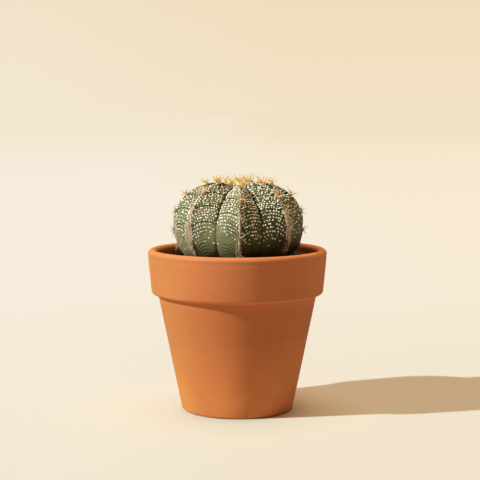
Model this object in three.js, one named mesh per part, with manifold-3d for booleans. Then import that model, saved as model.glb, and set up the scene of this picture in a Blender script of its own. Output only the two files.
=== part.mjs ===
// A round star cactus with eight ribs, growing in a plain unglazed clay pot.
// Millimetres, +Z up. The origin is the centre of the pot's foot, where the pot stands on its shelf.
import * as THREE from 'three';
import { mergeVertices } from 'three/addons/utils/BufferGeometryUtils.js';
import Module from 'manifold-3d';

const wasm = await Module();
wasm.setup();

// ---- Driving dimensions ----
const GAP = 0.35; // clearance between pieces that touch
const TURN_STEPS = 48; // facets round the pot and the soil

const POT = {
  height: 97.3,
  rimRadius: 54,
  lipRound: 2.85, // radius of the half-round lip
  collarDrop: 26.1, // from the lip's top down to the collar's lower edge
  collarFootRadius: 51.8,
  collarEdgeRound: 1.5,
  bodyTopRadius: 48.1,
  footRadius: 33.8,
  footRound: 1.8,
  floorHeight: 8,
  floorRadius: 29,
  floorRound: 3,
  drainRadius: 6.5,
};

const SOIL = { wallHeight: 88.8, moundHeight: 92, moundRadius: 33 };

const STEM = {
  axisX: 0.9, // the plant grows a little off the pot's centre
  ribs: 8,
  crestRadius: 39.2,
  crestHeight: 112, // height of the widest ring, on the crests
  crestRise: 27.6,
  crestPower: 2.4, // 2 is an ellipse, more is squarer
  valleyRadius: 35,
  valleyHeight: 109,
  valleyRise: 25.5,
  valleyPower: 2,
  baseHeight: 83, // underside of the stem, below the soil
  crownHeight: 133.8, // bottom of the hollow at the growing point
  crownRadius: 8.5,
  flankBulge: 0.7,
  // How much higher or lower each rib's shoulder stands, counter-clockwise from the front rib.
  shoulderLift: [-1.8, 0.1, 0.3, -0.4, 0.5, 0.2, 0.1, 0.4],
};

const TAPROOT = { radius: 9, topHeight: 88, tipHeight: 58 };

const AREOLE = {
  crownArc: 9, // crest length from the growing point to the first areole
  spacings: [12.5, 13.5, 12, 11.3, 9.8], // crest length from each areole to the next one down
  // Each rib's row of areoles sits this much further down its crest, to stagger the rows.
  ribStagger: [-0.1, -1.7, -2, -3.5, 0.5, -2.6, -1.2, -4],
  crownStagger: 0.3, // share of the stagger that the first areole already has
  padLength: 1.9,
  padWidth: 1.6,
  padHeight: 1.1,
  spineRadius: 0.36,
  spineLength: 5.2,
  radialSpines: 5,
};

const CROWN_WOOL = { radius: 4.4, height: 1.9 };

const SHARD = { width: 25, depth: 23, thickness: 4.5, curveRadius: 38 };

// Loose grit on the soil: angle round the pot in degrees from the front, distance out, and size.
const GRIT = [
  { name: 'grit_a', angle: 70, distance: 33.8, size: 1.8 },
  { name: 'grit_b', angle: 112, distance: 34.2, size: 2.1 },
  { name: 'grit_c', angle: 135, distance: 44, size: 1.8 },
  { name: 'grit_d', angle: 226, distance: 44.1, size: 1.7 },
  { name: 'grit_e', angle: 314, distance: 43.9, size: 1.9 },
];

// ---- Materials ----
const clay = new THREE.MeshStandardMaterial({ color: '#c9733f', roughness: 0.88, metalness: 0 });
const skin = new THREE.MeshStandardMaterial({ color: '#6b6a45', roughness: 0.7, metalness: 0 });
const earth = new THREE.MeshStandardMaterial({ color: '#4a3322', roughness: 0.97, metalness: 0 });
const gravel = new THREE.MeshStandardMaterial({ color: '#8d7763', roughness: 0.95, metalness: 0 });
const youngSpines = new THREE.MeshStandardMaterial({ color: '#d8b070', roughness: 0.6, metalness: 0 });
const oldSpines = new THREE.MeshStandardMaterial({ color: '#a5735a', roughness: 0.65, metalness: 0 });
const wool = new THREE.MeshStandardMaterial({ color: '#cdb98a', roughness: 0.95, metalness: 0 });

// ---- Solids ----
function solidOf(geometry) {
  const bare = geometry.index ? geometry.clone() : geometry;
  bare.deleteAttribute('normal');
  bare.deleteAttribute('uv');
  const merged = mergeVertices(bare, 1e-4);
  return new wasm.Manifold(new wasm.Mesh({
    numProp: 3,
    vertProperties: new Float32Array(merged.attributes.position.array),
    triVerts: new Uint32Array(merged.index.array),
  }));
}

function geometryOf(solid) {
  const mesh = solid.getMesh();
  const geometry = new THREE.BufferGeometry();
  geometry.setAttribute('position', new THREE.BufferAttribute(mesh.vertProperties, 3));
  geometry.setIndex(new THREE.BufferAttribute(mesh.triVerts, 1));
  geometry.computeVertexNormals();
  return geometry;
}

// Turns an outline of [radius, height] points round the vertical axis.
function turned(outline) {
  const points = outline.map(([radius, height]) => new THREE.Vector2(radius, height));
  return new THREE.LatheGeometry(points, TURN_STEPS).rotateX(Math.PI / 2);
}

// Points of an arc from one angle to another, in degrees, on a [radius, height] outline.
function arc(centreRadius, centreHeight, size, from, to, steps) {
  return Array.from({ length: steps + 1 }, (_, i) => {
    const angle = THREE.MathUtils.degToRad(from + ((to - from) * i) / steps);
    return [centreRadius + size * Math.cos(angle), centreHeight + size * Math.sin(angle)];
  });
}

// A repeatable value from 0 to 1 for each seed, for natural unevenness.
function vary(seed) {
  const value = Math.sin(seed * 12.9898 + 4.1) * 43758.5453;
  return value - Math.floor(value);
}

// ---- Clay pot: tapered body, deep collar, half-round lip, drainage hole ----
const lipInnerRadius = POT.rimRadius - 2 * POT.lipRound;
const lipHeight = POT.height - POT.lipRound;

// Radius of the pot's straight inner wall at a height.
function innerRadius(height) {
  const rise = (height - POT.floorHeight) / (lipHeight - POT.floorHeight);
  return POT.floorRadius + (lipInnerRadius - POT.floorRadius) * rise;
}

function potGeometry() {
  const collarFoot = POT.height - POT.collarDrop;
  const floorCorner = POT.floorHeight + POT.floorRound;
  const outline = [
    [POT.drainRadius, 0],
    ...arc(POT.footRadius - POT.footRound, POT.footRound, POT.footRound, -90, 0, 2),
    [POT.bodyTopRadius, collarFoot],
    ...arc(POT.collarFootRadius - POT.collarEdgeRound, collarFoot + POT.collarEdgeRound,
      POT.collarEdgeRound, -90, 0, 2),
    ...arc(POT.rimRadius - POT.lipRound, lipHeight, POT.lipRound, 0, 180, 6),
    ...arc(innerRadius(floorCorner) - POT.floorRound, floorCorner, POT.floorRound, 0, -90, 2),
    [POT.drainRadius, POT.floorHeight],
    [POT.drainRadius, 0],
  ];
  return turned(outline);
}

// ---- Stem: eight ribs between crest lines and valley lines, with a taproot below ----
// A point on a meridian curve: latitude runs from -90 at the base to 90 at the growing point.
function meridianPoint(latitude, radius, middle, rise, power) {
  const angle = THREE.MathUtils.degToRad(latitude);
  const out = Math.pow(Math.max(Math.cos(angle), 0), 2 / power) * radius;
  const up = Math.pow(Math.abs(Math.sin(angle)), 2 / power);
  if (latitude < 0) return { out, height: middle - (middle - STEM.baseHeight) * up };
  const hollow = Math.exp(-Math.pow(out / STEM.crownRadius, 2));
  return { out, height: middle + rise * up - (middle + rise - STEM.crownHeight) * hollow };
}

function crestPoint(rib, latitude) {
  const rise = STEM.crestRise + STEM.shoulderLift[rib];
  return meridianPoint(latitude, STEM.crestRadius, STEM.crestHeight, rise, STEM.crestPower);
}

function valleyPoint(latitude) {
  return meridianPoint(latitude, STEM.valleyRadius, STEM.valleyHeight, STEM.valleyRise, STEM.valleyPower);
}

// Angle of a rib's crest round the plant. Rib 0 faces the front, which is -Y.
const ribAngle = (rib) => (2 * Math.PI * rib) / STEM.ribs - Math.PI / 2;

function around(angle, out, height) {
  return new THREE.Vector3(STEM.axisX + out * Math.cos(angle), out * Math.sin(angle), height);
}

// A flank is the straight run from a crest to a valley, swelled a little between them.
function flankPoint(rib, side, share, latitude) {
  const crest = crestPoint(rib, latitude);
  const valley = valleyPoint(latitude);
  const from = around(ribAngle(rib), crest.out, crest.height);
  const to = around(ribAngle(rib) + (side * Math.PI) / STEM.ribs, valley.out, valley.height);
  const point = from.lerp(to, share);
  const swell = STEM.flankBulge * Math.sin(Math.PI * share) * Math.cos(THREE.MathUtils.degToRad(latitude));
  const outward = new THREE.Vector3(point.x - STEM.axisX, point.y, 0).normalize();
  return point.addScaledVector(outward, swell);
}

const STEM_RINGS = 20;
const FLANK_SHARES = [0, 0.36, 0.72, 1];

// The whole stem, with its surface moved outward by grow.
function stemGeometry(grow) {
  const ring = (latitude) => {
    const points = [];
    for (let rib = 0; rib < STEM.ribs; rib += 1) {
      for (const share of FLANK_SHARES) points.push(flankPoint(rib, 1, share, latitude));
      const next = (rib + 1) % STEM.ribs;
      for (const share of FLANK_SHARES.slice(1, -1).reverse()) points.push(flankPoint(next, -1, share, latitude));
    }
    return points;
  };
  const latitudes = Array.from({ length: STEM_RINGS - 1 }, (_, i) => -90 + (180 * (i + 1)) / STEM_RINGS);
  const rings = latitudes.map(ring);
  const columns = rings[0].length;
  const base = around(0, 0, STEM.baseHeight);
  const crown = around(0, 0, STEM.crownHeight);
  const vertices = [base, ...rings.flat(), crown];
  const at = (row, column) => 1 + row * columns + (column % columns);
  const faces = [];
  for (let column = 0; column < columns; column += 1) {
    faces.push(0, at(0, column + 1), at(0, column));
    for (let row = 0; row < rings.length - 1; row += 1) {
      const [a, b] = [at(row, column), at(row, column + 1)];
      const [c, d] = [at(row + 1, column + 1), at(row + 1, column)];
      faces.push(a, b, c, a, c, d);
    }
    faces.push(vertices.length - 1, at(rings.length - 1, column), at(rings.length - 1, column + 1));
  }
  const geometry = new THREE.BufferGeometry().setFromPoints(vertices);
  geometry.setIndex(faces);
  geometry.computeVertexNormals();
  const { position, normal } = geometry.attributes;
  for (let i = 0; i < position.count; i += 1) {
    position.setXYZ(i, position.getX(i) + grow * normal.getX(i), position.getY(i) + grow * normal.getY(i),
      position.getZ(i) + grow * normal.getZ(i));
  }
  return geometry;
}

function taprootGeometry(grow) {
  const outline = [
    [0, TAPROOT.tipHeight - grow],
    [0.3 * TAPROOT.radius + grow, TAPROOT.tipHeight + 3 - grow],
    [0.7 * TAPROOT.radius + grow, 0.5 * (TAPROOT.tipHeight + TAPROOT.topHeight)],
    [TAPROOT.radius + grow, TAPROOT.topHeight],
    [0, TAPROOT.topHeight],
  ];
  return turned(outline).translate(STEM.axisX, 0, 0);
}

const stemSolid = (grow) => solidOf(stemGeometry(grow)).add(solidOf(taprootGeometry(grow)));
const stem = stemSolid(0);
// The surface normals lean over the ridges, so the clearance is grown a little more than the gap.
const stemClearance = stemSolid(1.25 * GAP);

// ---- Clay shard that keeps the soil off the drainage hole ----
function shardOutline(curveRadius, thickness, width, foot) {
  const halfAngle = Math.asin(width / (2 * curveRadius));
  const centreHeight = foot - curveRadius * Math.cos(halfAngle);
  const shape = new THREE.Shape();
  shape.absarc(0, centreHeight, curveRadius + thickness, Math.PI / 2 - halfAngle, Math.PI / 2 + halfAngle, false);
  shape.absarc(0, centreHeight, curveRadius, Math.PI / 2 + halfAngle, Math.PI / 2 - halfAngle, true);
  shape.closePath();
  return shape;
}

function shardGeometry() {
  const shape = shardOutline(SHARD.curveRadius, SHARD.thickness, SHARD.width, POT.floorHeight + GAP);
  return new THREE.ExtrudeGeometry(shape, { depth: SHARD.depth, bevelEnabled: false, curveSegments: 6 })
    .rotateX(Math.PI / 2)
    .translate(0, SHARD.depth / 2, 0);
}

// The hollow that the shard keeps in the soil: one block over its highest point and its corners.
function shardHollow() {
  const sagitta = SHARD.curveRadius - Math.sqrt(SHARD.curveRadius ** 2 - (SHARD.width / 2) ** 2);
  const height = 2 * GAP + sagitta + SHARD.thickness;
  const spread = (SHARD.width * (SHARD.curveRadius + SHARD.thickness)) / SHARD.curveRadius;
  return solidOf(new THREE.BoxGeometry(spread + 2 * GAP, SHARD.depth + 2 * GAP, 2 * height)
    .translate(0, 0, POT.floorHeight));
}

// ---- Soil: fills the pot, mounded a little round the plant ----
function soilGeometry() {
  const bottom = POT.floorHeight + GAP;
  const corner = POT.floorHeight + POT.floorRound;
  const outline = [
    [0, bottom],
    [innerRadius(corner) - POT.floorRound - GAP, bottom],
    [innerRadius(corner) - 1.5 * GAP, corner + GAP],
    [innerRadius(SOIL.wallHeight) - GAP - 0.1, SOIL.wallHeight],
    [SOIL.moundRadius, SOIL.moundHeight],
    [0, SOIL.moundHeight],
  ];
  return geometryOf(solidOf(turned(outline)).subtract(stemClearance).subtract(shardHollow()));
}

// Height of the soil's surface at a distance from the pot's axis.
function soilHeight(distance) {
  const run = innerRadius(SOIL.wallHeight) - SOIL.moundRadius;
  const share = Math.max(distance - SOIL.moundRadius, 0) / run;
  return SOIL.moundHeight + (SOIL.wallHeight - SOIL.moundHeight) * share;
}

function gritGeometry(stone, seed) {
  const geometry = new THREE.DodecahedronGeometry(stone.size);
  geometry.scale(1, 0.75 + 0.2 * vary(seed), 0.65);
  geometry.rotateZ(2 * Math.PI * vary(seed + 0.5));
  geometry.computeBoundingBox();
  const angle = THREE.MathUtils.degToRad(stone.angle - 90);
  const inner = stone.distance - stone.size;
  const foot = soilHeight(inner) + GAP - geometry.boundingBox.min.z;
  geometry.translate(stone.distance * Math.cos(angle), stone.distance * Math.sin(angle), foot);
  return geometry;
}

// ---- Areoles: a felt pad on the crest that holds a cluster of spines ----
// Points down a rib's crest from the growing point, with the length along it.
function crestWalk(rib) {
  const points = [];
  let length = 0;
  for (let latitude = 90; latitude > -60; latitude -= 0.5) {
    const { out, height } = crestPoint(rib, latitude);
    const last = points.at(-1);
    if (last) length += Math.hypot(out - last.out, height - last.height);
    points.push({ out, height, length });
  }
  return points;
}

// A frame on the crest: its place, the direction out of the stem, and the direction up the crest.
function crestFrame(rib, length) {
  const walk = crestWalk(rib);
  const index = walk.findIndex((point) => point.length >= length);
  const [above, here, below] = [walk[index - 2], walk[index], walk[index + 2]];
  const angle = ribAngle(rib);
  const place = around(angle, here.out, here.height);
  const up = around(angle, above.out, above.height).sub(around(angle, below.out, below.height)).normalize();
  const side = new THREE.Vector3(-Math.sin(angle), Math.cos(angle), 0);
  const outward = new THREE.Vector3().crossVectors(side, up).normalize();
  return new THREE.Matrix4().makeBasis(side, up, outward).setPosition(place);
}

// Lengths down a rib's crest at which its areoles sit.
function areoleLengths(rib) {
  const stagger = AREOLE.ribStagger[rib];
  let length = AREOLE.crownArc + stagger;
  const older = AREOLE.spacings.map((spacing) => (length += spacing));
  return [AREOLE.crownArc + AREOLE.crownStagger * stagger, ...older];
}

function spineSolid(length, tilt, turn) {
  const cone = new THREE.ConeGeometry(AREOLE.spineRadius, length, 3, 1).rotateX(Math.PI / 2);
  return solidOf(cone.translate(0, 0, length / 2 + 0.2).rotateX(tilt).rotateZ(turn));
}

function areoleGeometry(rib, order, length) {
  const pad = new THREE.SphereGeometry(1, 7, 4)
    .rotateX(Math.PI / 2)
    .scale(AREOLE.padWidth, AREOLE.padLength, AREOLE.padHeight)
    .translate(0, 0, 0.1);
  let cluster = solidOf(pad);
  // Old areoles near the soil have lost most of their length to wear.
  const wear = [0.95, 1, 1, 0.95, 0.85, 0.5][order];
  const spine = AREOLE.spineLength * wear;
  cluster = cluster.add(spineSolid(spine, 0, 0));
  for (let i = 0; i < AREOLE.radialSpines; i += 1) {
    const seed = 100 * rib + 10 * order + i;
    const turn = (2 * Math.PI * (i + 0.5 * vary(seed))) / AREOLE.radialSpines;
    const tilt = THREE.MathUtils.degToRad(42 + 20 * vary(seed + 0.3));
    cluster = cluster.add(spineSolid(spine * (0.75 + 0.25 * vary(seed + 0.6)), tilt, turn));
  }
  const placed = geometryOf(cluster).applyMatrix4(crestFrame(rib, length));
  return geometryOf(solidOf(placed).subtract(stemClearance));
}

function crownWoolGeometry() {
  const tuft = new THREE.SphereGeometry(1, 12, 6)
    .rotateX(Math.PI / 2)
    .scale(CROWN_WOOL.radius, CROWN_WOOL.radius, CROWN_WOOL.height)
    .translate(STEM.axisX, 0, STEM.crownHeight + 1);
  return geometryOf(solidOf(tuft).subtract(stemClearance));
}

// ---- Assembly ----
const group = new THREE.Group();

function place(name, geometry, material) {
  const mesh = new THREE.Mesh(geometry, material);
  mesh.name = name;
  group.add(mesh);
}

place('terracotta_pot', potGeometry(), clay);
place('drainage_shard', shardGeometry(), clay);
place('potting_soil', soilGeometry(), earth);
place('cactus_stem', geometryOf(stem), skin);
place('crown_wool', crownWoolGeometry(), wool);
GRIT.forEach((stone, index) => place(stone.name, gritGeometry(stone, index), gravel));
for (let rib = 0; rib < STEM.ribs; rib += 1) {
  areoleLengths(rib).forEach((length, order) => {
    const material = order < 2 ? youngSpines : oldSpines;
    place(`areole_${rib + 1}_${order + 1}`, areoleGeometry(rib, order, length), material);
  });
}

export default group;
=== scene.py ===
"""A round star cactus with eight felt-flecked ribs, growing in a plain unglazed clay pot.

Shapes are worked out in millimetres and turned into metres as each piece is made.
"""

import itertools
import math

import bpy
import numpy as np
from mathutils import Euler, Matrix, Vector


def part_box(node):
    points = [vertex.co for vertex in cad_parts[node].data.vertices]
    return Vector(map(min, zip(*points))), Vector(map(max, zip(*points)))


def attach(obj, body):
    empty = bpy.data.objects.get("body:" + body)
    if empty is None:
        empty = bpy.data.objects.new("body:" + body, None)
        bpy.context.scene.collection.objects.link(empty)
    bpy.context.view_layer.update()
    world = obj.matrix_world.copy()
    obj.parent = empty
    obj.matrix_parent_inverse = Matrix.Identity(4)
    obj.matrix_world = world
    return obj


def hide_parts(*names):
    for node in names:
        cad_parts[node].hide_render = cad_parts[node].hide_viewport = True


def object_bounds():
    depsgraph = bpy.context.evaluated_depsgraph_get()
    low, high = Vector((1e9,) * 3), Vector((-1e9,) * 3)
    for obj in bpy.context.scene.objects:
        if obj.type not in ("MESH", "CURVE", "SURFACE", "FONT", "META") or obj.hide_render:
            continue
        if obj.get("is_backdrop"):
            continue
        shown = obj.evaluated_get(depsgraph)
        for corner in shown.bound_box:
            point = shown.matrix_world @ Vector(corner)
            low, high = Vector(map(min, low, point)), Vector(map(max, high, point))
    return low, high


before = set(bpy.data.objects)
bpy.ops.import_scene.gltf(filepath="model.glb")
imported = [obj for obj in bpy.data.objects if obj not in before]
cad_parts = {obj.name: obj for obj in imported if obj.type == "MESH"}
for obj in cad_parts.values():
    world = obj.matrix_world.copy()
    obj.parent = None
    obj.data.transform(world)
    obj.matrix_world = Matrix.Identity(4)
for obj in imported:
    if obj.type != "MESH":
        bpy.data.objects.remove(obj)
cad_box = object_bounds()

MM = 0.001


def node_box(node):
    """Lowest and highest corner of a CAD node, in millimetres."""
    low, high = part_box(node)
    return np.array(low) / MM, np.array(high) / MM


# ---- Small sums ----
def unit(vectors):
    """The same directions, one long."""
    return vectors / np.maximum(np.linalg.norm(vectors, axis=-1, keepdims=True), 1e-12)


def ease(value, low, high):
    """0 up to low, 1 from high, and a smooth step between."""
    share = np.clip((value - low) / (high - low), 0, 1)
    return share * share * (3 - 2 * share)


def mound(value, middle, width):
    """A rounded bump of height 1 about a middle."""
    return np.exp(-(((value - middle) / width) ** 2))


def lattice_noise(places, seed=0):
    """Smooth values from -1 to 1 that change over about one unit of the places."""
    places = np.asarray(places, float)
    cell = np.floor(places).astype(np.int64)
    part = places - cell
    fade = part * part * (3 - 2 * part)
    total = np.zeros(places.shape[:-1])
    for corner in itertools.product((0, 1), repeat=3):
        mixed = (cell + corner) * np.array([73856093, 19349663, 83492791])
        key = (mixed[..., 0] ^ mixed[..., 1] ^ mixed[..., 2]) + 7919 * seed
        key = (key * 1103515245 + 12345) & 0x7FFFFFFF
        key = ((key >> 11) ^ key) * 668265263 & 0x7FFFFFFF
        value = ((key >> 7) & 0xFFFF) / 32767.5 - 1
        weight = np.prod(np.where(corner, fade, 1 - fade), axis=-1)
        total += weight * value
    return total


def layered_noise(places, size, layers=3, seed=0):
    """Noise whose largest lumps are about size across, with finer lumps on them."""
    total, reach = 0, 0
    for layer in range(layers):
        strength = 0.5**layer
        total = total + strength * lattice_noise(np.asarray(places) * 2**layer / size, seed + layer)
        reach += strength
    return total / reach


def stack(*parts):
    """Points or vectors from their X, Y and Z."""
    return np.stack(np.broadcast_arrays(*parts), axis=-1)


# ---- Finishes ----
class Value:
    """A number that changes over a surface: sums written on it add Math nodes."""

    def __init__(self, finish, socket):
        self.finish = finish
        self.socket = socket

    def math(self, operation, first, second):
        return self.finish.value("ShaderNodeMath", {"operation": operation}, {0: first, 1: second})

    def __add__(self, other):
        return self.math("ADD", self, other)

    __radd__ = __add__

    def __mul__(self, other):
        return self.math("MULTIPLY", self, other)

    __rmul__ = __mul__

    def __sub__(self, other):
        return self.math("SUBTRACT", self, other)

    def __rsub__(self, other):
        return self.math("SUBTRACT", other, self)

    def wave(self, pitch):
        """Rises and falls between -1 and 1 each time the value grows by pitch."""
        return self.math("SINE", self * (2 * math.pi / pitch), 0)


class Finish:
    """A procedural material, or the studio's light: one shader and the nodes that feed it."""

    def __init__(self, owner, shader="Principled BSDF", place="Object", **constants):
        self.material = owner
        owner.use_nodes = True
        self.tree = owner.node_tree
        self.shader = self.tree.nodes[shader]
        for socket, constant in constants.items():
            self.shader.inputs[socket.replace("_", " ")].default_value = constant
        self.place = self.node("ShaderNodeTexCoord").outputs[place]

    def node(self, kind, settings=None, inputs=None):
        """A node of any kind, with its settings made first and then its sockets fed."""
        node = self.tree.nodes.new(kind)
        for name, setting in (settings or {}).items():
            if name == "stops":
                for spare in list(node.color_ramp.elements)[1:]:
                    node.color_ramp.elements.remove(spare)
                for index, (position, colour) in enumerate(setting):
                    stops = node.color_ramp.elements
                    stop = stops[0] if index == 0 else stops.new(position)
                    stop.position, stop.color = position, (*colour, 1)
            else:
                setattr(node, name, setting)
        for name, given in (inputs or {}).items():
            if isinstance(given, Value):
                given = given.socket
            if isinstance(given, bpy.types.NodeSocket):
                self.tree.links.new(given, node.inputs[name])
            else:
                node.inputs[name].default_value = given
        return node

    def value(self, kind, settings=None, inputs=None, output=0):
        return Value(self, self.node(kind, settings, inputs).outputs[output])

    def feed(self, name, given):
        """Links a value or a colour to a socket of the shader."""
        socket = given.socket if isinstance(given, Value) else given
        self.tree.links.new(socket, self.shader.inputs[name])

    def noise(self, size, detail=3.0, roughness=0.55, stretch=(1, 1, 1)):
        """Noise from 0 to 1 with lumps about size millimetres across."""
        scales = [share / (size * MM) for share in stretch]
        place = self.node("ShaderNodeVectorMath", {"operation": "MULTIPLY"}, {0: self.place, 1: scales})
        inputs = {"Vector": place.outputs[0], "Scale": 1.0, "Detail": detail, "Roughness": roughness}
        return self.value("ShaderNodeTexNoise", {}, inputs)

    def along(self, axis):
        """The place along an axis, X, Y or Z."""
        return Value(self, self.node("ShaderNodeSeparateXYZ", {}, {0: self.place}).outputs[axis])

    def field(self, name):
        """A value that the piece's mesh carries at its points."""
        return self.value("ShaderNodeAttribute", {"attribute_name": name}, {}, "Fac")

    def between(self, value, low, high):
        """0 where the value is low, 1 where it is high, and even between."""
        return self.value("ShaderNodeMapRange", {}, {"Value": value, "From Min": low, "From Max": high})

    def colours(self, factor, *stops):
        """Colours spread evenly over a factor from 0 to 1."""
        spread = [(index / (len(stops) - 1), colour) for index, colour in enumerate(stops)]
        return self.node("ShaderNodeValToRGB", {"stops": spread}, {0: factor}).outputs[0]

    def mixed(self, factor, first, second, blend="MIX"):
        """Two colours mixed, where a colour is three numbers or a socket."""
        first, second = (colour if isinstance(colour, bpy.types.NodeSocket) else (*colour, 1)
                         for colour in (first, second))
        settings = {"data_type": "RGBA", "blend_type": blend}
        return self.node("ShaderNodeMix", settings, {0: factor, 6: first, 7: second}).outputs[2]

    def toned(self, factor, colour, tone):
        """A colour multiplied by a tone, as far as the factor says."""
        return self.mixed(factor, colour, tone, "MULTIPLY")

    def bump(self, height, depth, strength=1.0):
        """Fine relief, depth millimetres deep."""
        inputs = {"Height": height, "Distance": depth * MM, "Strength": strength}
        self.feed("Normal", self.node("ShaderNodeBump", {}, inputs).outputs[0])


def tinted(colour, light):
    """A plain colour made lighter or darker."""
    return tuple(min(part * light, 1) for part in colour)


# ---- Making pieces ----
class Shape:
    """Points in millimetres, faces, bake places of the faces' corners, and fields of one piece."""

    def __init__(self):
        self.points, self.faces, self.corners, self.fields = [], [], [], {}
        self.count = 0

    def add(self, points, faces, corners, **fields):
        points = np.asarray(points, float).reshape(-1, 3)
        self.faces += [[corner + self.count for corner in face] for face in faces]
        self.points.append(points)
        self.corners.append(np.asarray(corners, float).reshape(-1, 2))
        for name, values in fields.items():
            spread = np.broadcast_to(np.asarray(values, float), len(points)).ravel()
            self.fields.setdefault(name, []).append((self.count, spread))
        self.count += len(points)

    def make(self, name, finish, slot, *nodes):
        """Makes the piece, gives it its finish, and hides the CAD nodes that it stands for."""
        points = np.concatenate(self.points)
        mesh = bpy.data.meshes.new(name)
        mesh.from_pydata((points * MM).tolist(), [], self.faces)
        mesh.update()
        places = mesh.uv_layers.new(name="OFBake")
        places.uv.foreach_set("vector", np.concatenate(self.corners).ravel())
        for label, runs in self.fields.items():
            values = np.zeros(len(points))
            for start, run in runs:
                values[start : start + len(run)] = run
            mesh.attributes.new(label, "FLOAT", "POINT").data.foreach_set("value", values)
        mesh.polygons.foreach_set("use_smooth", np.ones(len(mesh.polygons), bool))
        mesh.materials.append(finish.material)
        piece = bpy.data.objects.new(name, mesh)
        bpy.context.collection.objects.link(piece)
        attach(piece, "root")
        if nodes:
            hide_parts(*nodes)


def turned_faces(rows, columns, heights):
    """Faces between rings of points, closed round, and the bake places of their corners.

    heights says how far along the bake square each ring lies.
    """
    row, column = np.meshgrid(np.arange(rows - 1), np.arange(columns), indexing="ij")
    row, column = row.ravel(), column.ravel()
    onward = (column + 1) % columns
    below = row + 1
    faces = np.stack([row * columns + column, row * columns + onward,
                      below * columns + onward, below * columns + column], axis=1)
    heights = np.asarray(heights)
    across = np.stack([column, column + 1, column + 1, column], axis=1) / columns
    along = np.stack([heights[row], heights[row], heights[below], heights[below]], axis=1)
    return faces.tolist(), np.stack([across, along], axis=-1).reshape(-1, 2)


def fan(ring, tip, height, tip_height):
    """Triangles from a ring's point numbers to one tip, with their bake places."""
    count = len(ring)
    faces = [[ring[(i + 1) % count], ring[i], tip] for i in range(count)]
    corners = [[((i + 1) / count, height), (i / count, height), ((i + 0.5) / count, tip_height)]
               for i in range(count)]
    return faces, np.array(corners).reshape(-1, 2)


def closed_turn(rings, first_tip=None, last_tip=None):
    """Points, faces and corners of a closed form through rings, given from one end to the other."""
    rings = np.asarray(rings)
    rows, columns = rings.shape[:2]
    steps = np.linalg.norm(np.diff(rings, axis=0), axis=-1).mean(axis=1)
    along = np.concatenate([[0], np.cumsum(steps)]) / steps.sum()
    along = 0.02 + 0.96 * along  # leaves room in the bake square for the two end fans
    faces, corners = turned_faces(rows, columns, along)
    points = [rings.reshape(-1, 3)]
    corners = [corners]
    total = rows * columns
    for tip, row, edge, last in ((first_tip, 0, 0.0, False), (last_tip, rows - 1, 1.0, True)):
        if tip is None:
            continue
        ring = [row * columns + column for column in range(columns)]
        capped, cap_corners = fan(ring if not last else ring[::-1], total, along[row], edge)
        if last:
            cap_corners[:, 0] = 1 - cap_corners[:, 0]
        points.append(np.asarray(tip, float).reshape(1, 3))
        faces += capped
        corners.append(cap_corners)
        total += 1
    return np.concatenate(points), faces, np.concatenate(corners)


def volume(points, faces):
    """Volume of a closed form, below zero if its faces look inward."""
    total = 0.0
    by_size = {}
    for face in faces:
        by_size.setdefault(len(face), []).append(face)
    for size, group in by_size.items():
        corners = points[np.array(group)]
        for i in range(1, size - 1):
            total += np.einsum("ij,ij->i", corners[:, 0], np.cross(corners[:, i], corners[:, i + 1])).sum()
    return total / 6


def faced_out(points, faces, corners):
    """The same closed form with every face looking outward."""
    if volume(points, faces) > 0:
        return points, faces, corners
    flipped, places, start = [], [], 0
    for face in faces:
        flipped.append(face[::-1])
        places.append(corners[start : start + len(face)][::-1])
        start += len(face)
    return points, flipped, np.concatenate(places)


def grid_cell(index, count):
    """Corner and size of one of count equal cells of the bake square."""
    side = math.ceil(math.sqrt(count))
    return np.array([index % side, index // side]) / side, 1 / side


NEEDLE_TAPER = 0.75  # below 1 keeps a needle thick until near its tip


def needles(shape, roots, directions, bends, lengths, radii, sides, stations, **fields):
    """Tapered, curved needles, each a closed form. Bends say how far each tip drifts sideways."""
    count = len(roots)
    share = np.linspace(0, 1, stations + 1)[:-1]
    taper = (1 - share) ** NEEDLE_TAPER
    helper = np.where(np.abs(directions[:, 2:3]) < 0.9, [[0, 0, 1.0]], [[1.0, 0, 0]])
    first = unit(np.cross(directions, helper))
    second = np.cross(directions, first)
    turn = 2 * math.pi * np.arange(sides) / sides
    spread = (first[:, None, None] * np.cos(turn)[:, None]
              + second[:, None, None] * np.sin(turn)[:, None])
    line = (roots[:, None] + directions[:, None] * (share * lengths[:, None])[..., None]
            + bends[:, None] * (share**2)[:, None])
    rings = line[:, :, None] + spread * (radii[:, None] * taper)[..., None, None]
    tips = roots + directions * lengths[:, None] + bends
    points = np.concatenate([rings.reshape(count, -1, 3), tips[:, None]], axis=1)
    template, _ = turned_faces(stations, sides, share)
    template = [face[::-1] for face in template]
    template.append(list(range(sides)))
    top = (stations - 1) * sides
    template += [[top + i, top + (i + 1) % sides, stations * sides] for i in range(sides)]
    flat_share = np.append(np.repeat(share, sides), 1)
    flat_turn = np.append(np.tile((np.arange(sides) + 0.5) / sides, stations), 0.5)
    for index in range(count):
        corner, cell = grid_cell(index, count)
        places = [corner + cell * np.array([0.1 + 0.8 * flat_turn[i], 0.1 + 0.8 * flat_share[i]])
                  for face in template for i in face]
        values = {name: given[index] for name, given in fields.items()}
        shape.add(points[index], template, places, along=flat_share, **values)


# ---- The stem: eight ribs between crest lines and valley lines ----
RIBS = 8
STEM_AXIS = 0.9  # the plant grows a little to the right of the pot's middle
CREST = {"radius": 39.2, "middle": 112, "rise": 27.6, "power": 2.4}
VALLEY = {"radius": 35, "middle": 109, "rise": 25.5, "power": 2}
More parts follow.
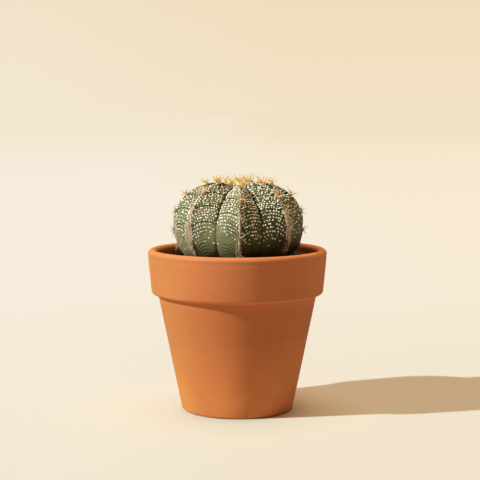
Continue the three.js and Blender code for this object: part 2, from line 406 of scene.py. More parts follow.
# Of each rib, counter-clockwise from the front: how much higher and further out it grew, in millimetres,
# and how far round it turned, in radians.
SHOULDER_LIFT = [-1.8, -1.1, -0.9, -1.6, -0.7, -1.0, -1.1, -0.9]
CREST_REACH = [0, 0, -1.2, 0, 0, 0, -0.5, 0]
CREST_TURN = [0.021, 0, 0, 0, 0, 0, 0, 0]
BASE_HEIGHT = 83
CROWN_HEIGHT = 133.8
CROWN_HOLLOW = 8.5
FLANK_SWELL = 0.7
FLANK_WIDTH = 15.5  # from crest to valley at the widest
AREOLE_START = 9
AREOLE_SPACINGS = [12.5, 13.5, 12, 11.3, 9.8]
AREOLE_STAGGER = [-0.1, -1.7, -2, -3.5, 0.5, -2.6, -1.2, -4]
CROWN_STAGGER = 0.3  # the youngest clusters keep this share of their rib's stagger

GROOVE_WIDTH = 0.65
GROOVE_DEPTH = 0.55
BAND_SWELL = 0.28
NOTCH_DEPTH = 1.5
CORK_THICKNESS = 0.4
CORK_FIBRE = 0.3
SKIN_UNEVENNESS = 0.16
ARCH = (2.697, -1.199, -0.898)  # how a row of felt climbs between crest and valley
# Where each rib's cork starts along its crest, and how much of its two flanks it takes at the soil.
CORK = [(38, 0.14, 0.04), (34, 0.06, 0.72), (46, 0.15, 0.3), (52, 0.25, 0.2),
        (44, 0.12, 0.3), (50, 0.3, 0.12), (48, 0.3, 1.05), (41, 1.15, 0.03)]
SOIL_LENGTH = 72  # crest length at which a rib goes into the soil
# By rib and side: the felt level from which old felt has grown into ridges.
RIDGED = {(1, 1): 33, (2, -1): 33, (5, 1): 40, (3, -1): 44}
CREASED_ACROSS = ((6, 1), (7, -1))  # flanks whose creases run right into the valley
WINDOW_SIDE = (-0.785, -0.233, 0)


def meridian(latitude, radius, middle, rise, power):
    """Distance out and height: latitude is -90 at the base and 90 at the growing point."""
    angle = np.radians(latitude)
    out = radius * np.maximum(np.cos(angle), 0) ** (2 / power)
    up = np.abs(np.sin(angle)) ** (2 / power)
    above = middle + rise * up - (middle + rise - CROWN_HEIGHT) * mound(out, 0, CROWN_HOLLOW)
    below = middle - (middle - BASE_HEIGHT) * up
    return out, np.where(latitude < 0, below, above)


def crest_line(rib, latitude):
    """Distance out and height of a rib's crest."""
    grown = {"radius": CREST["radius"] + CREST_REACH[rib], "rise": CREST["rise"] + SHOULDER_LIFT[rib]}
    return meridian(latitude, **{**CREST, **grown})


def rib_angle(rib):
    """The turn at which a rib stands, with the first one facing the front."""
    return 2 * math.pi * rib / RIBS - math.pi / 2


def around(angle, out, height):
    """Places about the stem's axis."""
    return stack(STEM_AXIS + out * np.cos(angle), out * np.sin(angle), height)


def crest_walk(rib):
    """Latitudes down a rib, and the length down its crest at each."""
    latitude = np.arange(90, -90.1, -0.25)
    out, height = crest_line(rib, latitude)
    steps = np.hypot(np.diff(out), np.diff(height))
    return latitude, np.concatenate([[0], np.cumsum(steps)])


WALKS = [crest_walk(rib) for rib in range(RIBS)]


def crest_length(rib, latitude):
    """Length down the crest from the growing point."""
    latitudes, lengths = WALKS[rib]
    return np.interp(-latitude, -latitudes, lengths)


def crest_latitude(rib, length):
    """The latitude at a length down the crest."""
    latitudes, lengths = WALKS[rib]
    return np.interp(length, lengths, latitudes)


def areole_lengths(rib):
    """Lengths down the crest at which a rib carries its clusters."""
    older = AREOLE_START + AREOLE_STAGGER[rib] + np.cumsum(AREOLE_SPACINGS)
    return np.concatenate([[AREOLE_START + CROWN_STAGGER * AREOLE_STAGGER[rib]], older])


def flank_point(rib, side, share, latitude):
    """A point on the plain flank, share of the way from the crest to the valley."""
    crest_out, crest_height = crest_line(rib, latitude)
    valley_out, valley_height = meridian(latitude, **VALLEY)
    crest = around(rib_angle(rib) + CREST_TURN[rib], crest_out, crest_height)
    valley = around(rib_angle(rib) + side * math.pi / RIBS, valley_out, valley_height)
    share = np.broadcast_to(share, crest.shape[:-1])
    point = crest + (valley - crest) * share[..., None]
    swell = FLANK_SWELL * np.sin(math.pi * share) * np.cos(np.radians(latitude))
    outward = point - [STEM_AXIS, 0, 0]
    outward[..., 2] = 0
    return point + unit(outward) * swell[..., None]


def row_arch(share):
    """How high a row of felt stands over the straight line from crest to valley."""
    return share * (ARCH[0] + share * (ARCH[1] + share * ARCH[2]))


def felt_level(rib, share, latitude):
    """The crest length whose row of felt runs through a place on the flank."""
    length = crest_length(rib, latitude)
    _, crest_height = crest_line(rib, latitude)
    _, valley_height = meridian(latitude, **VALLEY)
    drop = (crest_height - valley_height) * ease(length, 3, 16)
    climb = np.interp(length, [10, 35, 60], [1.6, 2.4, 5.6])
    return length + drop * share + climb * row_arch(share)


def latitude_at(rib, share, level):
    """The latitude at which a flank has a felt level, found by halving."""
    low, high = np.full(np.shape(level), -75.0), np.full(np.shape(level), 89.9)
    for _ in range(28):
        middle = (low + high) / 2
        deeper = felt_level(rib, share, middle) > level
        low, high = np.where(deeper, middle, low), np.where(deeper, high, middle)
    return (low + high) / 2


def band_shape(rib, level, share):
    """Groove strength at a level, and how full the band between two grooves is."""
    marks = areole_lengths(rib)
    width = GROOVE_WIDTH * (1 + 0.7 * mound(share, 0, 0.22))
    fade = 1 - 0.3 * ease(level, 40, 46) - 0.6 * ease(level, 55, 59)
    groove = sum(mound(level, mark, width) for mark in marks) * fade
    edges = np.concatenate([[0], marks, [marks[-1] + 9, 120]])
    index = np.clip(np.searchsorted(edges, level) - 1, 0, len(edges) - 2)
    phase = (level - edges[index]) / (edges[index + 1] - edges[index])
    return groove, np.sin(math.pi * np.clip(phase, 0, 1)) ** 0.7


def plain_flank(rib, side, share, latitude):
    """Places on the plain flank, their turn about the axis, and the directions out of it there."""
    here = flank_point(rib, side, share, latitude)
    up = here - flank_point(rib, side, share, latitude - 0.3)
    across = side * (flank_point(rib, side, share + 0.01, latitude) - here)
    turn = np.arctan2(here[..., 1], here[..., 0] - STEM_AXIS)
    level_across = stack(-np.sin(turn), np.cos(turn), np.zeros_like(turn))
    at_edge = (mound(share, 0, 0.05) + mound(share, 1, 0.05))[..., None]
    out = (1 - at_edge) * unit(np.cross(across, up)) + at_edge * unit(np.cross(level_across, up))
    return here, turn, unit(out)


def cork_cover(rib, side, here, share, length):
    """Where the rib's foot has turned to cork."""
    start, left, right = CORK[rib]
    spread = 0.55 * ease(length, start - 1, start + 9) + 0.45 * ease(length, start + 5, SOIL_LENGTH)
    wander = 0.07 * layered_noise(here, 4, 3, seed=3) * ease(length, start, start + 6)
    reach = (left if side < 0 else right) * spread + wander
    return ease(reach - share, -0.05, 0.05) * ease(length, start - 1, start + 1)


def skin(rib, side, share, latitude):
    """Points of the skin on a flank, the directions out of it, and its fields."""
    share, latitude = np.broadcast_arrays(np.asarray(share, float), np.asarray(latitude, float))
    here, turn, out = plain_flank(rib, side, share, latitude)
    length = crest_length(rib, latitude)
    level = felt_level(rib, share, latitude)
    groove, full = band_shape(rib, level, share)
    cork = cork_cover(rib, side, here, share, length)
    # Two measures that the finish turns into fine waves: down the rows of felt, and across the cork's folds.
    row = level + 2.5 * row_arch(share) + lattice_noise(here / 4.5, seed=8)
    row = row + 0.45 * lattice_noise(here / 2.2, seed=9)
    fold = FLANK_WIDTH * share + 0.9 * lattice_noise(here / [6, 6, 12], seed=10)
    fold = fold + 0.25 * lattice_noise(here / [2.2, 2.2, 5], seed=13)
    smooth_part = 0 if (rib, side) in CREASED_ACROSS else ease(share, 0.4, 0.85)
    creased = ease(level, 48, 56) * (1 - cork) * (1 - smooth_part) * ease(share, 0.0, 0.08)
    creased = creased * ease(lattice_noise(here / 5, seed=18), -0.9, -0.1)
    ridged = np.zeros_like(level)
    if (rib, side) in RIDGED:
        first = RIDGED[rib, side]
        ridged = ease(level, first, first + 6) * (1 - ease(level, 64, 72)) * (1 - cork)
        ridged = ridged * ease(share, 0.02, 0.15)
    fibre = lattice_noise(here / [1.2, 1.2, 9], seed=5)
    notch = mound(share, 1, 0.055) * ease(length, 5, 14) * (1 - 0.85 * ease(length, 36, 52))
    raised = (BAND_SWELL * full * (1 - ease(level, 58, 66)) - GROOVE_DEPTH * groove * (1 - 0.7 * cork)
              + cork * (CORK_THICKNESS + CORK_FIBRE * fibre)
              - NOTCH_DEPTH * notch
              + SKIN_UNEVENNESS * layered_noise(here, 6, 3, seed=11))
    seen = ease(length, 2, 9) * (1 - ease(length, 76, 84))
    point = here + out * (raised * seen)[..., None]
    # Painted shade: the flanks that face away from the window are painted a deeper, darker green.
    away = -0.5 * (out + stack(np.cos(turn), np.sin(turn), 0 * turn)) @ WINDOW_SIDE
    fields = {"cork": cork, "groove": groove * seen, "level": level / 100, "creased": creased,
              "ridged": ridged, "valley": mound(share, 1, 0.035) * (1 - 0.4 * ease(length, 36, 52)),
              "row": row, "fold": fold, "painted_shade": ease(away, -0.3, 0.02)}
    return point, out, fields


FLANK_STEPS = 22
RING_STEP = 0.335
SKIN_START, SKIN_END = 0.7, 78  # crest lengths between which the rings lie close together
BURIED_LATITUDE = -80
BURIED_RINGS = 14
BACK_RIB = 4
# Radius and height of each ring of the taproot.
TAPROOT = [(8.7, 81.5), (8, 78), (6.9, 74), (5.6, 69.5), (4.1, 65), (2.7, 61.3), (1.3, 59)]
TAPROOT_TIP = 58


def flank_shares():
    """Shares across a flank, closer together at the crest and the valley."""
    even = np.linspace(0, 1, FLANK_STEPS + 1)
    return even - 0.6 * np.sin(2 * math.pi * even) / (2 * math.pi)


def flanks_in_turn():
    """Rib, side and shares across of every flank, going once round the stem."""
    shares = flank_shares()
    return [(rib, side, run) for rib in range(RIBS) for side, run in ((-1, shares[-2:0:-1]), (1, shares))]


def build_stem(finish):
    close = crest_latitude(BACK_RIB, np.arange(SKIN_START, SKIN_END, RING_STEP))
    buried = np.linspace(crest_latitude(BACK_RIB, SKIN_END + 0.5), BURIED_LATITUDE, BURIED_RINGS)
    latitudes = np.concatenate([close, buried])
    blocks, field_blocks = [], []
    for rib, side, run in flanks_in_turn():
        point, _, fields = skin(rib, side, run[None, :], latitudes[:, None])
        blocks.append(point)
        field_blocks.append(fields)
    rings = np.concatenate(blocks, axis=1)
    turn = np.arctan2(rings[-1, :, 1], rings[-1, :, 0] - STEM_AXIS)
    root_rings = []
    for radius, height in TAPROOT:
        knobs = 1 + 0.08 * lattice_noise(stack(3 * np.cos(turn), 3 * np.sin(turn), height / 5), seed=14)
        root_rings.append(around(turn, radius * knobs, height))
    rings = np.concatenate([rings, root_rings])

    def whole_field(name):
        """The field at every point: of the skin, of the taproot's rings and of the two ends."""
        values = np.concatenate([block[name] for block in field_blocks], axis=1)
        values = np.concatenate([values, np.repeat(values[-1:], len(TAPROOT), 0)])
        return np.concatenate([values.ravel(), [values[0, 0], values[-1, 0]]])

    crown = [STEM_AXIS, 0, CROWN_HEIGHT]
    root = [STEM_AXIS, 0, TAPROOT_TIP]
    shape = Shape()
    shape.add(*faced_out(*closed_turn(rings, crown, root)),
              **{name: whole_field(name) for name in field_blocks[0]})
    shape.make("ribbed_stem", finish, "cactus_skin", "cactus_stem")


# ---- Felt flecks on the skin ----
FLECK_SIDES = 7
LAST_ROW = 70
# Each is given at some felt levels, and is even between them.
ROW_PITCH = ([8, 28, 42, 58], [1.45, 1.5, 1.8, 2.2])
FLECK_PITCH = ([5, 20, 40, 60], [1.4, 1.45, 1.45, 1.5])
FLECK_STRAY = ([30, 50], [0.24, 0.15])
FLECKS_KEPT = ([51, 57, 61, 64, 68], [0.96, 0.92, 0.75, 0.4, 0.08])
FLECK_SIZE = ([5, 25, 42, 55], [0.5, 0.57, 0.62, 0.62])
FLECK_LIMITS = (0.18, 0.8)  # smallest and largest radius


def row_levels(rib):
    """Felt levels that carry a row of flecks: even rows between each two grooves."""
    marks = np.concatenate([[3.0], areole_lengths(rib), [80]])
    rows = []
    for above, below in zip(marks[:-1], marks[1:]):
        low, high = above + 1.2, below - 1.15
        pitch = np.interp((low + high) / 2, *ROW_PITCH)
        count = max(int(round((high - low) / pitch)) + 1, 2)
        rows += list(np.linspace(low, high, count))
    return np.array(rows)


def flank_width(rib, side, length):
    """Straight from the crest to the valley, at a length down the crest."""
    edges = flank_point(rib, side, np.array([0.0, 1.0]), np.full(2, crest_latitude(rib, length)))
    return np.linalg.norm(np.diff(edges, axis=0))


def felt_places(random):
    """Rib, side, share, level and size of every fleck."""
    found = []
    for rib, side in itertools.product(range(RIBS), (-1, 1)):
        marks = areole_lengths(rib)
        for number, row in enumerate(row_levels(rib)):
            if row > LAST_ROW:
                continue
            count = max(int(flank_width(rib, side, row) / np.interp(row, *FLECK_PITCH)), 1)
            shares = (np.arange(count) + 0.75 - 0.5 * (number % 2)) / count
            stray = np.interp(row, *FLECK_STRAY)
            shares = shares + random.normal(0, stray, count) / count
            levels = row + random.normal(0, stray, count)
            keep = np.interp(row, *FLECKS_KEPT)
            if row > RIDGED.get((rib, side), LAST_ROW) + 4:
                keep = 0.6 * keep
            kept = (random.random(count) < keep) & (shares > 0.045) & (shares < 0.95)
            sizes = random.normal(np.interp(row, *FLECK_SIZE), 0.09, count)
            small = random.random(count) < 0.2
            sizes = np.where(small, sizes * 0.6, sizes)
            for share, level, size in zip(shares[kept], levels[kept], sizes[kept]):
                found.append((rib, side, share, level, size))
        # A closer line of small flecks runs down each side of the crest.
        level = 4.0
        while level < LAST_ROW:
            level += random.uniform(0.9, 1.3) if level < 30 else random.uniform(1.3, 1.8)
            if np.abs(marks - level).min() > 1.3:
                found.append((rib, side, random.uniform(0.02, 0.04), level, random.uniform(0.38, 0.52)))
    return found


def build_flecks(finish):
    random = np.random.default_rng(41)
    places = felt_places(random)
    groups = {}
    for rib, side, share, level, size in places:
        groups.setdefault((rib, side), []).append((share, level, size))
    points, outs, sizes = [], [], []
    for (rib, side), rows in groups.items():
        share, level, size = np.array(rows).T
        point, out, fields = skin(rib, side, share, latitude_at(rib, share, level))
        # Few flecks are left where the skin has turned to cork.
        kept = (fields["cork"] < 0.3) | (random.random(len(share)) < 0.28)
        points.append(point[kept])
        outs.append(out[kept])
        sizes.append(size[kept])
    points, outs = np.concatenate(points), np.concatenate(outs)
    sizes = np.clip(np.concatenate(sizes), *FLECK_LIMITS)
    count = len(points)
    first = unit(np.cross(outs, [0.3, 0.2, 1.0]))
    second = np.cross(outs, first)
    # Each fleck is a low dome: a foot sunk in the skin, a shoulder and a top.
    turn = 2 * math.pi * np.arange(FLECK_SIDES) / FLECK_SIDES
    reach = np.concatenate([np.ones(FLECK_SIDES), np.full(FLECK_SIDES, 0.62), [0]])
    lift = np.concatenate([np.full(FLECK_SIDES, -0.22), np.full(FLECK_SIDES, 0.26), [0.38]])
    angles = np.concatenate([turn, turn, [0]])
    template = [[i, (i + 1) % FLECK_SIDES, FLECK_SIDES + (i + 1) % FLECK_SIDES, FLECK_SIDES + i]
                for i in range(FLECK_SIDES)]
    template += [[FLECK_SIDES + i, FLECK_SIDES + (i + 1) % FLECK_SIDES, 2 * FLECK_SIDES]
                 for i in range(FLECK_SIDES)]
    template.append(list(range(FLECK_SIDES))[::-1])
    stretch = random.uniform(0.78, 1.22, count)
    lean = random.uniform(0, 2 * math.pi, count)
    side = math.ceil(math.sqrt(count))
    shape = Shape()
    for index in range(count):
        ragged = random.uniform(0.78, 1.18, len(reach))
        radius = sizes[index] * reach * ragged
        x = radius * np.cos(angles + lean[index]) * stretch[index]
        y = radius * np.sin(angles + lean[index]) / stretch[index]
        z = sizes[index] * lift
        place = points[index] + np.outer(x, first[index]) + np.outer(y, second[index])
        place = place + np.outer(z, outs[index])
        centre = (np.array([index % side, index // side]) + 0.5) / side
        disc = np.stack([reach * np.cos(angles), reach * np.sin(angles)], axis=1) * (0.38 / side) + centre
        corners = [disc[i] for face in template for i in face]
        shape.add(place, template, corners, tone=random.random())
    shape.make("felt_flecks", finish, "crown_wool")


# ---- Clusters of spines ----
# From the crown down: half-width of the pad, number of spines, and their length, radius at the root and lean.
CLUSTERS = [
    {"pad": 1.8, "spines": 13, "length": 7.4, "root": 0.3, "lean": 40},
    {"pad": 1.6, "spines": 12, "length": 5.9, "root": 0.29, "lean": 54},
    {"pad": 1.45, "spines": 12, "length": 5.6, "root": 0.29, "lean": 60},
    {"pad": 1.05, "spines": 8, "length": 4.4, "root": 0.23, "lean": 70},
    {"pad": 0.9, "spines": 7, "length": 4.2, "root": 0.21, "lean": 72},
    {"pad": 0.95, "spines": 6, "length": 3.6, "root": 0.21, "lean": 66},
]
# Ribs and orders of the clusters whose spines have only started to grow.
SHORT_SPINES = {(0, 0), (0, 1), (4, 0), (5, 0), (7, 0)}
PAD_LENGTH = 1.15
PAD_WIDTH = 0.95
PAD_HEIGHT = 0.6
PAD_FIBRES = 60
CROWN_FIBRES = 520
CROWN_SPINES = 40


def crest_frame(rib, length):
    """Place on the crest, and the directions sideways, up the crest and out of the stem."""
    angle = rib_angle(rib) + CREST_TURN[rib]
    above, here, below = (around(angle, *crest_line(rib, crest_latitude(rib, length + step)))
                          for step in (-0.6, 0, 0.6))
    side = np.array([-math.sin(angle), math.cos(angle), 0])
    up = unit(above - below)
    return here, side, up, np.cross(side, up)


def felt_pad(shape, place, axes, size, random, tone):
    """A lumpy felt cushion: axes are sideways, up and out, size the half-width along each."""
    rows, columns = 9, 16
    polar = np.linspace(0, math.pi, rows + 2)[1:-1]
    turn = 2 * math.pi * np.arange(columns) / columns
    ball = stack(np.sin(polar)[:, None] * np.cos(turn), np.sin(polar)[:, None] * np.sin(turn),
                 np.cos(polar)[:, None] + 0 * turn)
    lumps = 1 + 0.22 * lattice_noise(ball * 2.6 + 9 * random.random(), seed=21)
    local = ball * lumps[..., None] * size
    rings = place + local @ np.array(axes)
    tips = [place + np.array([0, 0, sign * size[2]]) @ np.array(axes) for sign in (1, -1)]
    points, faces, corners = faced_out(*closed_turn(rings, *tips))
    shape.add(points, faces, corners * [0.12, 0.12], along=0.4, tone=tone, spine=0)


def felt_fibres(shape, place, axes, size, random, count, reach, thickness):
    """Loose fibres that stand out of a felt pad."""
    turn = random.uniform(0, 2 * math.pi, count)
    open_angle = np.arccos(random.uniform(0.05, 1, count))
    ball = stack(np.sin(open_angle) * np.cos(turn), np.sin(open_angle) * np.sin(turn), np.cos(open_angle))
    roots = place + (0.8 * ball * size) @ np.array(axes)
    directions = unit((ball + random.normal(0, 0.35, (count, 3))) @ np.array(axes))
    lengths = reach * random.uniform(0.5, 1.2, count)
    bends = random.normal(0, 0.22, (count, 3)) * lengths[:, None]
    needles(shape, roots, directions, bends, lengths, np.full(count, thickness), sides=3, stations=3,
            tone=random.random(count), spine=np.zeros(count))


def build_cluster(rib, order, length, finish):
    """One areole: a felt pad on the crest and the spines that grow from it."""
    random = np.random.default_rng(1000 + 10 * rib + order)
    kind = CLUSTERS[order]
    place, side, up, out = crest_frame(rib, length)
    axes = [side, up, out]
    size = kind["pad"] * np.array([PAD_WIDTH, PAD_LENGTH, PAD_HEIGHT]) * random.uniform(0.88, 1.1, 3)
    seat = place + 0.25 * out
    shape = Shape()
    felt_pad(shape, seat, axes, size, random, random.random())
    felt_fibres(shape, seat, axes, size, random, count=PAD_FIBRES, reach=0.9, thickness=0.06)
    count = kind["spines"] + random.integers(-1, 2)
    turn = 2 * math.pi * (np.arange(count) + random.uniform(-0.3, 0.3, count)) / count
    turn = turn + random.uniform(0, 6)
    lean = np.radians(random.uniform(0.55, 1.1, count) * kind["lean"])
    lean[0] = math.radians(random.uniform(4, 18))  # the middle spine stands nearly straight out
    local = stack(np.sin(lean) * np.cos(turn), np.sin(lean) * np.sin(turn), np.cos(lean))
    directions = unit(local @ np.array(axes))
    lengths = kind["length"] * random.uniform(0.62, 1.08, count)
    if (rib, order) in SHORT_SPINES:
        lengths = 0.6 * lengths
    curl = unit(local * [1, 1, 0] + 1e-6) * random.uniform(-0.1, 0.28, (count, 1)) * lengths[:, None]
    curl = curl + random.normal(0, 0.04, (count, 3)) * lengths[:, None]
    roots = seat + (local * [0.5, 0.5, 0]) @ np.array(axes) + 0.2 * out
    radii = kind["root"] * random.uniform(0.85, 1.15, count)
    needles(shape, roots, directions, curl @ np.array(axes), lengths, radii, sides=6, stations=7,
            tone=random.random(count), spine=np.ones(count))
    node = f"areole_{rib + 1}_{order + 1}"
    slot = "young_spines" if order < 2 else "old_spines"
    shape.make(f"spine_cluster_{rib + 1}_{order + 1}", finish, slot, node)


def build_crown(finish):
    """The felt in the hollow of the crown, with the first fine spines in it."""
    random = np.random.default_rng(77)
    low, high = node_box("crown_wool")
    middle = (low + high) / 2
    axes = np.eye(3)
    size = np.array([high[0] - low[0], high[1] - low[1], 5]) / 2
    seat = np.array([middle[0], middle[1], low[2] + 0.6])
    shape = Shape()
    felt_pad(shape, seat, axes, size, random, 0.5)
    felt_fibres(shape, seat, axes, size, random, count=CROWN_FIBRES, reach=1.8, thickness=0.09)
    count = CROWN_SPINES
    turn = random.uniform(0, 2 * math.pi, count)
    lean = np.radians(random.uniform(4, 50, count))
    directions = stack(np.sin(lean) * np.cos(turn), np.sin(lean) * np.sin(turn), np.cos(lean))
    spread = random.uniform(0.5, 3.4, count)
    roots = seat + stack(spread * np.cos(turn), spread * np.sin(turn), np.full(count, 0.8))
    lengths = random.uniform(1.6, 3.2, count)
    bends = random.normal(0, 0.25, (count, 3))
    needles(shape, roots, directions, bends, lengths, np.full(count, 0.17), sides=5, stations=5,
            tone=random.random(count), spine=np.ones(count))
    shape.make("crown_felt", finish, "crown_wool", "crown_wool")


# ---- Clay pot ----
_, pot_high = node_box("terracotta_pot")
RIM_RADIUS = pot_high[0]
POT_HEIGHT = pot_high[2]
LIP_ROUND = 2.85
COLLAR_DROP = 26.9
COLLAR_FOOT_RADIUS = 51.8
COLLAR_EDGE_ROUND = 2.1
BODY_TOP_RADIUS = 47.7
BODY_TOP_ROUND = 0.7
FOOT_RADIUS = 33.8
FOOT_ROUND = 1.8
FLOOR_HEIGHT = 8
FLOOR_RADIUS = 29
FLOOR_ROUND = 3
DRAIN_RADIUS = 6.5
DRAIN_ROUND = 0.8
POT_COLUMNS = 264
# Under the lip: a soft hollow, then a scored line. Each is depth, distance below the rim, and half-width.
LIP_HOLLOW = (0.42, 3.6, 0.75)
SCORED_LINE = (0.2, 5.9, 0.2)
CLAY_UNEVENNESS = 0.09
CHIPS = 26

collar_foot = POT_HEIGHT - COLLAR_DROP
lip_inner_radius = RIM_RADIUS - 2 * LIP_ROUND
lip_height = POT_HEIGHT - LIP_ROUND


def inner_radius(height):
    """Radius of the pot's straight inner wall at a height."""
    rise = (height - FLOOR_HEIGHT) / (lip_height - FLOOR_HEIGHT)
    return FLOOR_RADIUS + (lip_inner_radius - FLOOR_RADIUS) * rise


def arc(centre_radius, centre_height, size, start, end, steps):
    """Points of an outline along an arc, with its start and end in degrees."""
    angle = np.radians(np.linspace(start, end, steps + 1))
    return list(zip(centre_radius + size * np.cos(angle), centre_height + size * np.sin(angle)))


def fine_outline(corners, step):
    """The outline with points no further apart than step says for the place."""
    corners = np.array(corners)
    points = [corners[:1]]
    for start, end in zip(corners[:-1], corners[1:]):
        count = max(int(math.ceil(np.linalg.norm(end - start) / step(0.5 * (start + end)))), 1)
        points.append(start + (end - start) * (np.arange(1, count + 1) / count)[:, None])
    return np.concatenate(points)


def pot_step(place):
    """Closer rings about the lip and the scored line, and wider ones inside."""
    height = place[1]
    outside = place[0] > inner_radius(height) + 2
    if outside and POT_HEIGHT - 8 < height:
        return 0.22
    return 1.3 if outside else 2.6


def pot_outline():
    """Radius and height round the wall, cut through on one side: from the drainage hole, under the foot,
    up the outside, over the lip and down the inside."""
    floor_corner = FLOOR_HEIGHT + FLOOR_ROUND
    edge = COLLAR_EDGE_ROUND
    corners = [
        *arc(DRAIN_RADIUS + DRAIN_ROUND, DRAIN_ROUND, DRAIN_ROUND, 180, 270, 3),
        *arc(FOOT_RADIUS - FOOT_ROUND, FOOT_ROUND, FOOT_ROUND, -90, -8, 6),
        *arc(BODY_TOP_RADIUS + BODY_TOP_ROUND, collar_foot - BODY_TOP_ROUND, BODY_TOP_ROUND, 172, 90, 4),
        *arc(COLLAR_FOOT_RADIUS - edge, collar_foot + edge, edge, -90, 5, 8),
        *arc(RIM_RADIUS - LIP_ROUND, lip_height, LIP_ROUND, 2, 178, 16),
        *arc(inner_radius(floor_corner) - FLOOR_ROUND, floor_corner, FLOOR_ROUND, 0, -90, 6),
        *arc(DRAIN_RADIUS + DRAIN_ROUND, FLOOR_HEIGHT - DRAIN_ROUND, DRAIN_ROUND, 90, 180, 3),
    ]
    return fine_outline(corners + corners[:1], pot_step)[:-1]


def chip_depth(place):
    """Small chips knocked out of the outside."""
    depth = np.zeros(place.shape[:-1])
    random = np.random.default_rng(12)
    for _ in range(CHIPS):
        angle = random.uniform(0, 2 * math.pi)
        height = random.uniform(8, POT_HEIGHT - 1)
        radius = FOOT_RADIUS + (BODY_TOP_RADIUS - FOOT_RADIUS) * height / collar_foot
        if height > collar_foot:
            radius = COLLAR_FOOT_RADIUS + 1.5
        near = np.linalg.norm(place - [radius * math.cos(angle), radius * math.sin(angle), height], axis=-1)
        depth += random.uniform(0.1, 0.25) * mound(near, 0, random.uniform(0.5, 0.9))
    return depth


def build_pot(finish):
    outline = pot_outline()
    turn = 2 * math.pi * np.arange(POT_COLUMNS) / POT_COLUMNS
    radius, height = outline[:, 0][:, None], outline[:, 1][:, None]
    outside = outline[:, 0] > inner_radius(outline[:, 1]) + 2
    slope = np.gradient(outline, axis=0)
    out = unit(np.stack([slope[:, 1], -slope[:, 0]], axis=1))
    place = stack(radius * np.cos(turn), radius * np.sin(turn), height + 0 * turn)
    below_top = POT_HEIGHT - height
    hollow = LIP_HOLLOW[0] * mound(below_top, *LIP_HOLLOW[1:])
    # The line wavers a little, because it was scored by hand on the wheel.
    line = SCORED_LINE[0] * mound(below_top, SCORED_LINE[1] + 0.12 * np.sin(2 * turn + 1), SCORED_LINE[2])
    raised = CLAY_UNEVENNESS * layered_noise(place, 22, 3, seed=31)
    raised = raised - (hollow + line + chip_depth(place)) * outside[:, None]
    # The foot and the rim stay where the shelf and the pot's height put them.
    raised = raised * ((height > 0.6) & (height < POT_HEIGHT - 0.3))
    moved_radius = radius + out[:, :1] * raised
    moved_height = height + out[:, 1:] * raised
    rings = stack(moved_radius * np.cos(turn), moved_radius * np.sin(turn), moved_height)
    rings = np.concatenate([rings, rings[:1]])
    steps = np.linalg.norm(np.diff(rings, axis=0), axis=-1).mean(axis=1)
    along = np.concatenate([[0], np.cumsum(steps)]) / steps.sum()
    faces, places = turned_faces(len(rings), POT_COLUMNS, along)
    last = (len(rings) - 1) * POT_COLUMNS
    faces = [[corner - last if corner >= last else corner for corner in face] for face in faces]
    inside = np.where(outside[:, None], 0, ease(below_top, 0.3, 3)) + 0 * turn
    east = np.cos(turn) + 0 * radius
    shape = Shape()
    shape.add(*faced_out(rings[:-1].reshape(-1, 3), faces, places), inside=inside.ravel(), east=east.ravel())
    shape.make("clay_pot", finish, "clay", "terracotta_pot")


# ---- Soil, crumbs and grit ----
_, soil_high = node_box("potting_soil")
SOIL_WALL_HEIGHT = 88.8
SOIL_MOUND_RADIUS = 33
WALL_GAP = 0.4
STEM_GAP = 0.4
ROOT_GAP = 0.6
SHARD_HOLLOW = 17
CRUMBS = 1300
MOSS_CRUMBS = 110
MOSSY_RIB = 1
CRUMB_STRIP = 0.19  # share of the bake square that the crumbs take
# The soil is banked up on the right behind the plant.
HEAP_PLACE = (38, 20, 0)
HEAP_HEIGHT = 3.8
HEAP_WIDTH = 10


def soil_height(distance):
    """Height of the soil's surface at a distance from the pot's axis."""
    wall = inner_radius(SOIL_WALL_HEIGHT)
    share = np.clip((distance - SOIL_MOUND_RADIUS) / (wall - SOIL_MOUND_RADIUS), 0, 1)
    return soil_high[2] - 0.2 + (SOIL_WALL_HEIGHT - soil_high[2] + 0.2) * share


def soil_lumps(place):
    """How far the heap and the lumps raise the soil at a place."""
    flat = np.array(place) * [1, 1, 0]
    heap = HEAP_HEIGHT * mound(np.linalg.norm(flat - HEAP_PLACE, axis=-1), 0, HEAP_WIDTH)
    lumps = 0.55 * layered_noise(flat, 3.2, 3, seed=51) + 0.35 * np.abs(lattice_noise(flat / 1.3, seed=55))
    return heap + lumps - 0.5


def ball_mesh(splits):
    """Points and faces of a ball of triangles, from a twenty-sided one split a number of times."""
    golden = (1 + math.sqrt(5)) / 2
    corners = [(0, a, b * golden) for a in (-1, 1) for b in (-1, 1)]
    points = np.array([np.roll(corner, turn) for turn in range(3) for corner in corners], float)
    near = np.linalg.norm(points[:, None] - points[None], axis=-1)
    linked = (near > 0.1) & (near < 2.1)
    faces = [face for face in itertools.combinations(range(12), 3)
             if all(linked[a, b] for a, b in itertools.combinations(face, 2))]
    points = unit(points)
    faces = [list(face) if np.dot(np.cross(*(points[list(face[1:])] - points[face[0]])), points[face[0]]) > 0
             else list(face[::-1]) for face in faces]
    for _ in range(splits):
        middles, split = {}, []
        points = list(points)
        for a, b, c in faces:
            new = []
            for pair in ((a, b), (b, c), (c, a)):
                key = tuple(sorted(pair))
                if key not in middles:
                    middles[key] = len(points)
                    points.append(unit(points[pair[0]] + points[pair[1]]))
                new.append(middles[key])
            split += [[a, new[0], new[2]], [b, new[1], new[0]], [c, new[2], new[1]], new]
        points, faces = np.array(points), split
    return np.array(points), faces


def ball_places(faces, corner, cell):
    """Bake places of a ball's faces, each in its own small triangle of a cell."""
    places = []
    for index in range(len(faces)):
        spot, size = grid_cell(index, len(faces))
        places += [corner + cell * (spot + np.array(step) * size)
                   for step in ((0.1, 0.1), (0.85, 0.15), (0.15, 0.85))]
    return places


